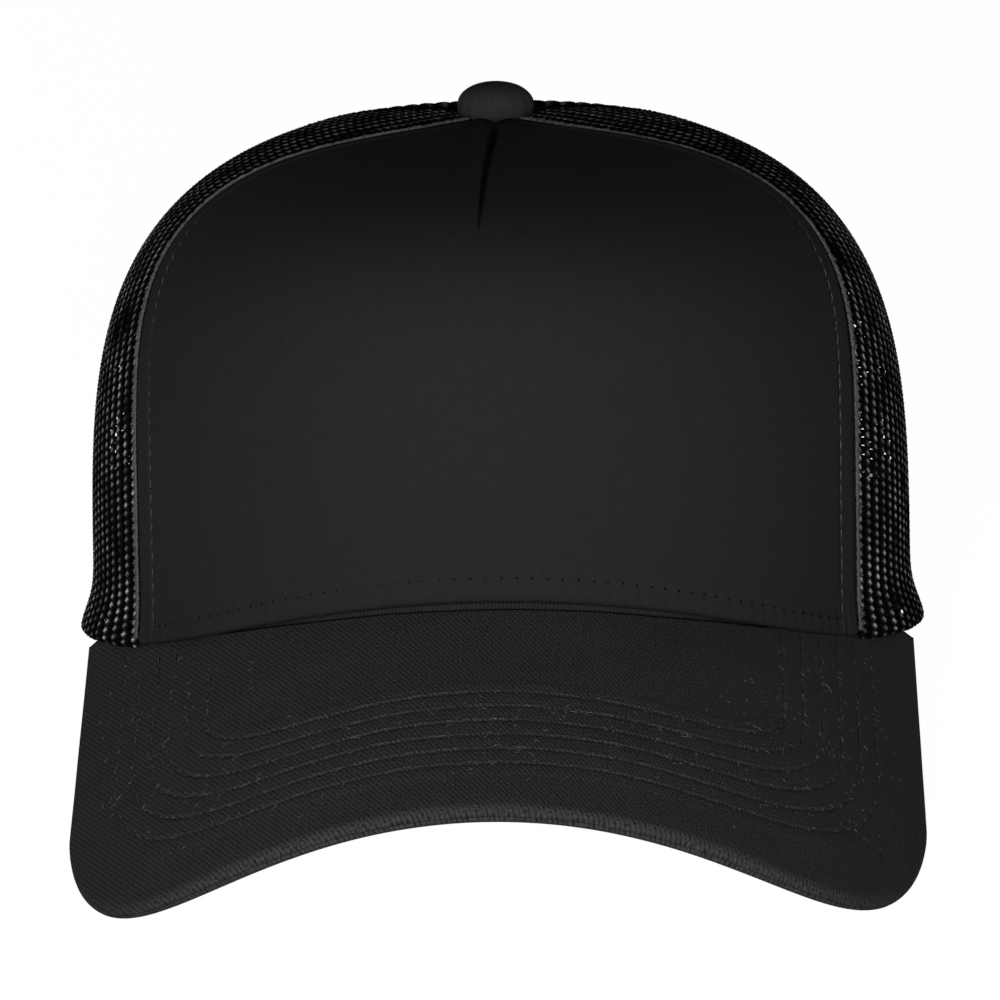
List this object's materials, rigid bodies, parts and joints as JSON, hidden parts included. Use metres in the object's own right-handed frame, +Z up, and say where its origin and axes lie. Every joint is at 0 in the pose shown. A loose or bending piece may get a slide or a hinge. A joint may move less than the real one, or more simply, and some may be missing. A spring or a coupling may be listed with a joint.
{
  "type": "trucker mesh cap",
  "caption": "Mesh-backed cap with a stiff cloth front, bent stitched brim, covered top button, sweatband and a snap strap that opens at the rear.",
  "frame": {"origin": "middle of the box round the cap, on the surface that it stands on: the brim's two low corners and the back of the edge", "axes": "+Z up, -Y towards the front of the brim, +X to the wearer's left"},
  "size_m": [0.1788, 0.2616, 0.1328],
  "materials": {
    "front_twill": "matte cotton twill",
    "lining": "stiffened buckram",
    "knit": "open polyester mesh",
    "tape": "woven tape",
    "binding": "woven tape",
    "brim_twill": "matte cotton twill",
    "board": "moulded board",
    "sweatband": "cotton twill",
    "label": "satin ribbon",
    "button_cloth": "matte cotton twill",
    "steel": "plain",
    "strap_plastic": "satin"
  },
  "bodies": {
    "root": {"front_panel": "front_twill", "front_lining": "lining", "side_mesh_left": "knit", "side_mesh_right": "knit", "rear_mesh_left": "knit", "rear_mesh_right": "knit", "front_seam_tape_left": "tape", "front_seam_tape_right": "tape", "side_seam_tape_left": "tape", "side_seam_tape_right": "tape", "rear_seam_tape": "tape", "arch_binding": "binding", "brim_top_cover": "brim_twill", "brim_under_cover": "brim_twill", "brim_board": "board", "sweatband": "sweatband", "care_label": "label", "button_cover": "button_cloth", "button_stud": "steel", "button_backing": "steel", "strap_root_left": "strap_plastic", "strap_root_right": "strap_plastic"},
    "holes_strap": {"strap_with_holes": "strap_plastic"},
    "pegs_strap": {"strap_with_pegs": "strap_plastic"}
  },
  "joints": [
    {"name": "holes_strap_swing", "type": "hinge", "parent": "root", "child": "holes_strap", "pos_m": [0.0395, 0.11357, 0.00013], "axis": [0, -0.1021, -0.9948], "range_deg": [0, 90], "stiffness_Nm_per_rad": 0.01},
    {"name": "pegs_strap_swing", "type": "hinge", "parent": "root", "child": "pegs_strap", "pos_m": [-0.0395, 0.11357, 0.00013], "axis": [0, -0.1021, -0.9948], "range_deg": [0, 35], "stiffness_Nm_per_rad": 0.01}
  ]
}
